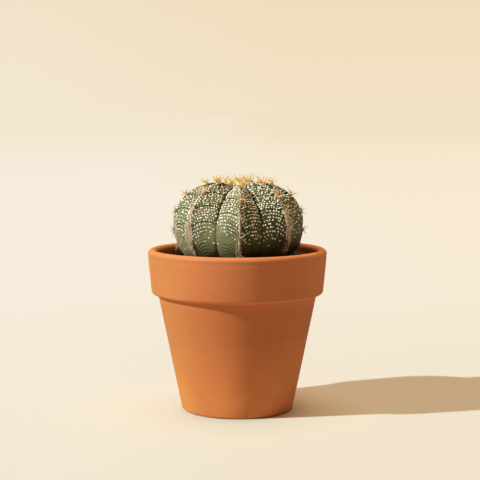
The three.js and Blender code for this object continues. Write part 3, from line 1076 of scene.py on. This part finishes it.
def stem_hollow():
    """Rings of the soil's own surface around the buried part of the stem, and their turn about the pot."""
    rings = np.array([
        np.concatenate([flank_point(rib, side, run, np.full(len(run), latitude))
                        for rib, side, run in flanks_in_turn()])
        for latitude in np.linspace(-42, -78, 9)
    ])
    turn = np.arctan2(rings[0, :, 1], rings[0, :, 0])
    outward = unit((rings - [STEM_AXIS, 0, 0]) * [1, 1, 0])
    return rings + outward * STEM_GAP + [0, 0, -STEM_GAP], turn


def build_soil(finish):
    random = np.random.default_rng(5)
    hollow, turn = stem_hollow()

    def ring(radius, height):
        return stack(radius * np.cos(turn), radius * np.sin(turn), height + 0 * turn)

    floor = FLOOR_HEIGHT + WALL_GAP
    corner = FLOOR_HEIGHT + FLOOR_ROUND
    # Over the shard and across the pot's floor, up the wall, and over the top to the stem.
    rows = [ring(*place) for place in (
        (2, 16.5), (8, 16.3), (SHARD_HOLLOW - 2, 15), (SHARD_HOLLOW, floor), (22, floor),
        (inner_radius(corner) - FLOOR_ROUND - WALL_GAP, floor),
        (inner_radius(corner) - 1.5 * WALL_GAP, corner + WALL_GAP),
    )]
    for height in np.linspace(corner + 8, SOIL_WALL_HEIGHT - 0.6, 10):
        rows.append(ring(inner_radius(height) - WALL_GAP, height))
    rim = np.hypot(hollow[0, :, 0], hollow[0, :, 1])
    edge = inner_radius(SOIL_WALL_HEIGHT) - WALL_GAP
    for share in np.linspace(0.01, 1, 46):
        radius = edge + (rim - edge) * share
        surface = ring(radius, soil_height(radius))
        rising = 0.8 * mound(share, 1, 0.09) + 0.4 * mound(share, 0, 0.04)
        surface[:, 2] += soil_lumps(surface) * (1 - 0.5 * mound(share, 0, 0.03)) - rising * 0.2
        rows.append(surface)
    rows += list(hollow[1:])
    for radius, height in TAPROOT:
        rows.append(around(turn, radius + ROOT_GAP, height - STEM_GAP))
    bottom, top = [0, 0, 16.6], [STEM_AXIS, 0, TAPROOT_TIP - ROOT_GAP]
    points, faces, corners = faced_out(*closed_turn(np.array(rows), bottom, top))
    shape = Shape()
    shape.add(points, faces, corners * [1, 0.8], tone=0.35, crumb=0)

    ball, ball_faces = ball_mesh(0)

    def add_crumb(points, index, crumb):
        """Adds a crumb of soil, which is 1, or of moss, which is 2."""
        corner, cell = grid_cell(index, CRUMBS)
        corner = corner * [1, CRUMB_STRIP] + [0, 1 - CRUMB_STRIP]
        places = ball_places(ball_faces, corner, cell * CRUMB_STRIP)
        shape.add(points, ball_faces, places, tone=random.random(), crumb=crumb)

    order = np.argsort(turn)
    for index in range(CRUMBS):
        angle = random.uniform(-math.pi, math.pi)
        inner = np.interp(angle, turn[order], rim[order], period=2 * math.pi) + 0.4
        distance = math.sqrt(random.uniform((inner / edge) ** 2, 0.985)) * edge
        size = 0.25 + 0.75 * random.random() ** 3
        jagged = ball * random.uniform(0.65, 1.25, (len(ball), 1)) * size
        jagged = jagged * [1, random.uniform(0.6, 1), random.uniform(0.5, 0.9)]
        twist = np.array(Euler(random.uniform(0, 6.3, 3)).to_matrix())
        spot = np.array([distance * math.cos(angle), distance * math.sin(angle), soil_height(distance)])
        spot[2] += soil_lumps(spot) + 0.25 * size
        add_crumb(jagged @ twist.T + spot, index, 1)
    # Soil and moss cling to the foot of the rib at the right front.
    for _ in range(MOSS_CRUMBS):
        side = random.choice([-1, 1])
        length = random.uniform(61, 73)
        share = random.uniform(0, 0.3) * ease(length, 58, 66)
        spot, out, _ = skin(MOSSY_RIB, side, share, crest_latitude(MOSSY_RIB, length))
        size = random.uniform(0.25, 0.85)
        jagged = ball * random.uniform(0.65, 1.25, (len(ball), 1)) * size
        add_crumb(jagged + spot + 0.3 * size * out, random.integers(CRUMBS), 2)
    shape.make("soil_surface", finish, "potting_mix", "potting_soil")


def build_grit(finish):
    ball, faces = ball_mesh(3)
    for number, letter in enumerate("abcde"):
        low, high = node_box(f"grit_{letter}")
        chunky = 1 + 0.3 * layered_noise(ball + 7 * number, 0.9, 3, seed=61)
        stone = ball * chunky[:, None]
        stone = (stone - stone.min(0)) / (stone.max(0) - stone.min(0)) * (high - low) + low
        shape = Shape()
        shape.add(stone, faces, ball_places(faces, np.zeros(2), 1))
        shape.make(f"grit_stone_{letter}", finish, "grit", f"grit_{letter}")


# ---- Finishes of the pieces ----
CLAY = (0.529, 0.1435, 0.0423)
COLLAR_CLAY = (0.615, 0.177, 0.060)
LIP_CLAY = (0.55, 0.178, 0.070)
# The next three colours are painted light: light bounced off the floor onto the lower pot, light reflected
# onto the right side, and sunlight on the left side.
BOUNCE_LIT_CLAY = (0.94, 0.292, 0.079)
RIGHT_REFLECTION_TONE = (1.08, 1.22, 1.28)
SUNLIT_TONE = (0.92, 1.10, 0.88)


def clay_finish():
    """Fired clay, redder on the collar, with painted light: paler towards the foot, yellower on the sunlit
    left, paler and bluer on the right, and painted shade inside.
    """
    finish = Finish(bpy.data.materials.new("fired_clay"), Roughness=0.86, Specular_IOR_Level=0.3)
    broad = finish.noise(34, 3, 0.5)
    cloudy = finish.noise(7, 4, 0.6, (1, 1, 1.6))
    grain = finish.noise(0.55, 2, 0.6)
    turning = finish.noise(1.6, 2, 0.5, (0.05, 0.05, 1))
    height = finish.along("Z")
    fired = finish.mixed(finish.between(height, 0.060, 0.080), CLAY, COLLAR_CLAY)
    east = finish.field("east")
    # Painted bounce light: the clay is painted paler towards the foot, most on the right side away from the
    # sun.
    painted_bounce = 0.35 + 0.65 * finish.between(east, -0.45, 0.2)
    fired = finish.mixed(finish.between(height, 0.048, 0.008) * painted_bounce, fired, BOUNCE_LIT_CLAY)
    fired = finish.mixed(finish.between(height, 0.0925, 0.0955), fired, LIP_CLAY)
    pale = finish.mixed(finish.between(broad, 0.3, 0.7) * 0.6, fired, tinted(CLAY, 0.90))
    clouded = finish.mixed(finish.between(cloudy, 0.35, 0.75) * 0.25, pale, tinted(COLLAR_CLAY, 1.1))
    # Painted reflected light: the right side of the pot is painted paler and bluer.
    right_reflection = finish.toned(finish.between(east, 0.5, 0.97), clouded, RIGHT_REFLECTION_TONE)
    grained = finish.mixed(finish.between(grain, 0.3, 0.75) * 0.25, right_reflection, tinted(CLAY, 0.72))
    # Painted sunlight: the left side, towards the sun, is painted yellower.
    grained = finish.toned(finish.between(east, -0.45, -0.95), grained, SUNLIT_TONE)
    # Painted shade: inside the pot the wall is painted dark brown just under the lip and nearly black further
    # down.
    inner_shade = finish.mixed(finish.between(height, 0.0945, 0.0905), (0.15, 0.056, 0.012), (0.028, 0.006, 0.001))
    finish.feed("Base Color", finish.mixed(finish.field("inside") * (0.85 + 0.15 * cloudy), grained, inner_shade))
    finish.feed("Roughness", 0.8 + 0.12 * finish.between(cloudy, 0.3, 0.7))
    finish.bump(0.65 * grain + 0.35 * turning + 0.3 * cloudy, 0.09, 0.9)
    return finish


def skin_finish():
    """Green skin with grooves, creases and felt ridges, and cork at the ribs' feet, with painted shade in the
    grooves, creases, valleys and cork folds and on the flanks away from the window.
    """
    finish = Finish(bpy.data.materials.new("felted_green_skin"), Roughness=0.6, Specular_IOR_Level=0.2)
    level = finish.field("level")
    cork = finish.field("cork")
    groove = finish.field("groove")
    ridged = finish.field("ridged")
    row = finish.field("row")
    broad = finish.noise(9, 3, 0.55)
    fine = finish.noise(0.9, 3, 0.6)
    folds = finish.between(finish.field("fold").wave(1.9), -0.45, 0.35)
    creases = finish.between(row.wave(2.2), 0.0, 0.8) * finish.field("creased")
    ridges = finish.between(row.wave(1.35), -0.6, 0.6)
    young = finish.mixed(finish.between(broad, 0.3, 0.7), (0.078, 0.068, 0.032), (0.126, 0.110, 0.055))
    grown = finish.mixed(finish.between(broad, 0.3, 0.7), (0.188, 0.173, 0.085), (0.260, 0.229, 0.112))
    green = finish.mixed(finish.between(level, 0.40, 0.62), young, grown)
    green = finish.mixed(finish.between(fine, 0.5, 0.8) * 0.35, green, (0.18, 0.175, 0.10))
    # Painted shade: the grooves and creases are painted nearly black green.
    green = finish.mixed(finish.between(groove, 0.1, 0.9) * 0.7, green, (0.028, 0.030, 0.013))
    green = finish.mixed(creases * 0.85, green, (0.026, 0.030, 0.012))
    wool = finish.mixed(fine, (0.42, 0.35, 0.24), (0.74, 0.63, 0.47))
    green = finish.mixed(ridged * 0.85, green, finish.mixed(ridges, (0.085, 0.070, 0.036), wool))
    # Painted shade on the flanks that face away from the window.
    green = finish.toned(finish.field("painted_shade") * 0.75, green, (0.18, 0.25, 0.10))
    # Painted shade along the valley line between the ribs.
    green = finish.mixed(finish.field("valley") * 0.7, green, (0.035, 0.034, 0.013))
    strands = finish.noise(1.1, 4, 0.65, (1, 1, 0.16))
    bark = finish.colours(finish.between(strands, 0.3, 0.7),
                          (0.30, 0.19, 0.11), (0.52, 0.37, 0.23), (0.80, 0.62, 0.43))
    # Painted shade in the hollows of the cork's folds.
    bark = finish.mixed((1 - folds) * 0.92, bark, (0.060, 0.038, 0.018))
    finish.feed("Base Color", finish.mixed(cork, green, bark))
    finish.feed("Roughness", 0.6 + 0.3 * cork)
    relief = 0.15 * fine + cork * (0.35 * strands + 0.8 * folds) + 0.9 * ridged * ridges - 0.9 * creases
    finish.bump(relief, 0.4, 0.8)
    return finish


def felt_finish():
    """Felt of the flecks, each with a tone of its own."""
    finish = Finish(bpy.data.materials.new("pale_felt"), Roughness=0.95, Specular_IOR_Level=0.1)
    tone = finish.field("tone")
    fine = finish.noise(0.25, 2, 0.6)
    colour = finish.colours(tone, (0.70, 0.62, 0.51), (0.90, 0.82, 0.70), (1.0, 0.94, 0.84))
    finish.feed("Base Color", finish.mixed(finish.between(fine, 0.45, 0.8) * 0.2, colour, (0.52, 0.48, 0.34)))
    finish.bump(fine, 0.12)
    return finish


def cluster_finish(name, root, middle, tip, felt):
    """Horny spines coloured along their length, and the felt pad that they grow from."""
    finish = Finish(bpy.data.materials.new(name), Roughness=0.7, Specular_IOR_Level=0.15)
    along, tone, spine = finish.field("along"), finish.field("tone"), finish.field("spine")
    streak = finish.noise(0.5, 3, 0.6)
    horn = finish.colours(along, root, middle, tip)
    horn = finish.mixed(finish.between(tone, 0.2, 1) * 0.4, horn, tinted(tip, 1.05))
    horn = finish.mixed(finish.between(streak, 0.5, 0.8) * 0.25, horn, tinted(root, 0.7))
    wool = finish.mixed(tone * 0.6, felt, tinted(felt, 0.6))
    finish.feed("Base Color", finish.mixed(spine, wool, horn))
    finish.feed("Roughness", 0.92 - 0.42 * spine)
    finish.bump(streak, 0.05)
    return finish


def soil_finish():
    """Dark soil, with crumbs of bark and of moss in their own tones."""
    finish = Finish(bpy.data.materials.new("potting_mix"), Roughness=0.97, Specular_IOR_Level=0.15)
    tone, crumb = finish.field("tone"), finish.field("crumb")
    grain = finish.noise(1.4, 5, 0.7)
    dark = finish.colours(finish.between(grain, 0.3, 0.7),
                          (0.018, 0.010, 0.006), (0.05, 0.027, 0.014), (0.10, 0.056, 0.03))
    bits = finish.colours(tone, (0.03, 0.016, 0.009), (0.085, 0.045, 0.024), (0.30, 0.19, 0.11))
    moss = finish.colours(tone, (0.05, 0.045, 0.015), (0.14, 0.12, 0.05), (0.30, 0.25, 0.14))
    soil = finish.mixed(finish.between(crumb, 0, 1) * 0.8, dark, bits)
    finish.feed("Base Color", finish.mixed(finish.between(crumb, 1, 2), soil, moss))
    finish.bump(grain, 0.5)
    return finish


def grit_finish():
    """Pale stone for the loose grit."""
    finish = Finish(bpy.data.materials.new("pale_grit"), Roughness=0.9, Specular_IOR_Level=0.25)
    grain = finish.noise(0.9, 4, 0.65)
    finish.feed("Base Color", finish.colours(finish.between(grain, 0.25, 0.75),
                                             (0.14, 0.095, 0.06), (0.28, 0.20, 0.14), (0.42, 0.33, 0.24)))
    finish.bump(grain, 0.25)
    return finish


# From the crown down: colours of the spines' roots, middles and tips, and of the felt.
CLUSTER_COLOURS = {
    "golden_spines": ((0.66, 0.28, 0.05), (0.86, 0.58, 0.18), (0.94, 0.78, 0.44), (0.88, 0.66, 0.38)),
    "amber_spines": ((0.62, 0.20, 0.05), (0.84, 0.50, 0.18), (0.94, 0.74, 0.44), (0.84, 0.60, 0.36)),
    "russet_spines": ((0.56, 0.17, 0.05), (0.82, 0.48, 0.22), (0.94, 0.76, 0.52), (0.82, 0.54, 0.36)),
    "rosy_spines": ((0.32, 0.16, 0.09), (0.60, 0.42, 0.28), (0.88, 0.72, 0.54), (0.84, 0.60, 0.48)),
    "faded_spines": ((0.28, 0.16, 0.09), (0.52, 0.38, 0.26), (0.84, 0.68, 0.50), (0.58, 0.42, 0.30)),
    "worn_spines": ((0.36, 0.12, 0.06), (0.66, 0.46, 0.32), (0.86, 0.70, 0.52), (0.50, 0.22, 0.14)),
}
GOLDEN_CLUSTERS = {(2, 1), (2, 2), (6, 1), (6, 2)}  # ribs and orders that kept their golden spines

clay = clay_finish()
skin_green = skin_finish()
felt = felt_finish()
potting_mix = soil_finish()
grit = grit_finish()
cluster_finishes = [cluster_finish(name, *colours) for name, colours in CLUSTER_COLOURS.items()]

# ---- The plant and its pot ----
build_pot(clay)
build_soil(potting_mix)
build_grit(grit)
build_stem(skin_green)
build_flecks(felt)
build_crown(cluster_finishes[0])
for rib in range(RIBS):
    for order, length in enumerate(areole_lengths(rib)):
        golden = (rib, order) in GOLDEN_CLUSTERS
        build_cluster(rib, order, length, cluster_finishes[0 if golden else order])

# The shard is a piece of the same fired clay, and keeps its own mesh.
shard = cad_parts["drainage_shard"]
shard.data.materials.clear()
shard.data.materials.append(clay.material)

# ---- Studio: a pale floor, a sun from the left and a soft warm light overhead ----
FLOOR_SIZE = 40
FLOOR_COLOUR = (0.530, 0.520, 0.600)
# Painted shade: the floor is painted warmer and a little darker to the right.
FLOOR_RIGHT_SHADE = (0.530, 0.502, 0.535)
# Tints multiply the floor's colour: painted shade near the front and far behind, and painted light about the
# foot of the pot.
FLOOR_NEAR_LEFT_SHADE = (0.945, 0.955, 0.91)
FLOOR_NEAR_SHADE = (0.93, 0.925, 0.865)
FLOOR_FAR_SHADE = (0.955, 0.93, 0.86)
FLOOR_FOOT_LIGHT = (1.43, 1.33, 1.14)
FLOOR_FOOT_PLACE = (-0.005, -0.009, 0)
SUN_FROM = Vector((-0.777, -0.259, 0.574))
SUN_COLOUR = (0.814, 1.0, 0.93)
SUN_STRENGTH = 4.6
SUN_WIDTH = 1.6
SOFT_LIGHT_FROM = Vector((0.05, 0.10, 0.99))
SOFT_LIGHT_COLOUR = (1.0, 0.73, 0.385)
SOFT_LIGHT_STRENGTH = 3.2
SOFT_LIGHT_WIDTH = 44
# Room colours from the floor's edge upward, by the sine of the height angle.
ROOM = [(0.0, (0.90, 0.80, 0.64)), (0.08, (0.88, 0.76, 0.58)), (0.14, (0.88, 0.76, 0.58)),
        (0.19, (0.06, 0.05, 0.04)), (1.0, (0.04, 0.035, 0.03))]
ROOM_RIGHT_TINT = (0.99, 0.95, 0.88)
ROOM_DARK = (0.06, 0.05, 0.04)  # of the room in front and on the right
CAMERA_PLACE = (0.00158, -0.8074, 0.1806)
CAMERA_TILT = 5.53  # degrees down
CAMERA_LENS = 100.94
CAMERA_SENSOR = 36


def build_floor():
    points = [(x * FLOOR_SIZE, y * FLOOR_SIZE, 0) for x, y in ((-1, -1), (1, -1), (1, 1), (-1, 1))]
    mesh = bpy.data.meshes.new("studio_floor")
    mesh.from_pydata(points, [], [(0, 1, 2, 3)])
    finish = Finish(bpy.data.materials.new("pale_floor"), Roughness=0.95, Specular_IOR_Level=0.0)
    across, depth = finish.along("X"), finish.along("Y")
    paper = finish.between(finish.noise(260, 2, 0.5), 0.3, 0.7)
    pale = finish.mixed(paper, tinted(FLOOR_COLOUR, 0.992), tinted(FLOOR_COLOUR, 1.008))
    # Painted shade: the floor is painted warmer and a little darker to the right, near the front and far
    # behind.
    pale = finish.mixed(finish.between(across, -0.25, 0.3), pale, FLOOR_RIGHT_SHADE)
    near_shade = finish.mixed(finish.between(across, -0.09, 0.0), FLOOR_NEAR_LEFT_SHADE, FLOOR_NEAR_SHADE)
    pale = finish.toned(finish.between(depth, 0.5, -0.15), pale, near_shade)
    pale = finish.toned(finish.between(depth, 1.5, 9), pale, FLOOR_FAR_SHADE)
    # Painted light: the floor is painted paler about the foot of the pot, where the collar hides the soft
    # light.
    reach = finish.value("ShaderNodeVectorMath", {"operation": "DISTANCE"},
                         {0: finish.place, 1: FLOOR_FOOT_PLACE}, "Value")
    covered = finish.between(reach, 0.092, 0.036)
    pale = finish.toned(covered * (0.4 + 0.6 * covered), pale, FLOOR_FOOT_LIGHT)
    finish.feed("Base Color", pale)
    mesh.materials.append(finish.material)
    floor = bpy.data.objects.new("studio_floor", mesh)
    bpy.context.collection.objects.link(floor)
    floor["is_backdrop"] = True


def add_sun(name, direction, strength, colour, width):
    """A far light from a direction, as wide as the angle given in degrees."""
    sun = bpy.data.lights.new(name, "SUN")
    sun.energy, sun.color, sun.angle = strength, colour, math.radians(width)
    lamp = bpy.data.objects.new(name, sun)
    lamp.rotation_euler = direction.to_track_quat("Z", "Y").to_euler()
    bpy.context.collection.objects.link(lamp)


def build_lights():
    """The sun, the soft light, and a room that is pale behind the plant and dark above and in front."""
    add_sun("window_sun", SUN_FROM, SUN_STRENGTH, SUN_COLOUR, SUN_WIDTH)
    add_sun("soft_light", SOFT_LIGHT_FROM, SOFT_LIGHT_STRENGTH, SOFT_LIGHT_COLOUR, SOFT_LIGHT_WIDTH)
    room = Finish(bpy.data.worlds.new("studio_room"), "Background", "Generated", Strength=1.0)
    wall = room.node("ShaderNodeValToRGB", {"stops": ROOM}, {0: room.along("Z")}).outputs[0]
    wall = room.toned(room.between(room.along("X"), -0.16, 0.03), wall, ROOM_RIGHT_TINT)
    behind = room.between(room.along("Y") - room.along("X"), -0.5, 0.5)
    room.feed("Color", room.mixed(behind, ROOM_DARK, wall))
    bpy.context.scene.world = room.material


def build_camera():
    lens = bpy.data.cameras.new("camera")
    lens.lens = CAMERA_LENS
    lens.sensor_width = CAMERA_SENSOR
    camera = bpy.data.objects.new("camera", lens)
    camera.location = CAMERA_PLACE
    camera.rotation_euler = (math.radians(90 - CAMERA_TILT), 0, 0)
    bpy.context.collection.objects.link(camera)
    bpy.context.scene.camera = camera


build_floor()
build_lights()
build_camera()
bpy.context.scene.view_settings.view_transform = "Standard"

boxes = {"cad": cad_box, "visual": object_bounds()}
{name: [list(corner) for corner in box] for name, box in boxes.items()}
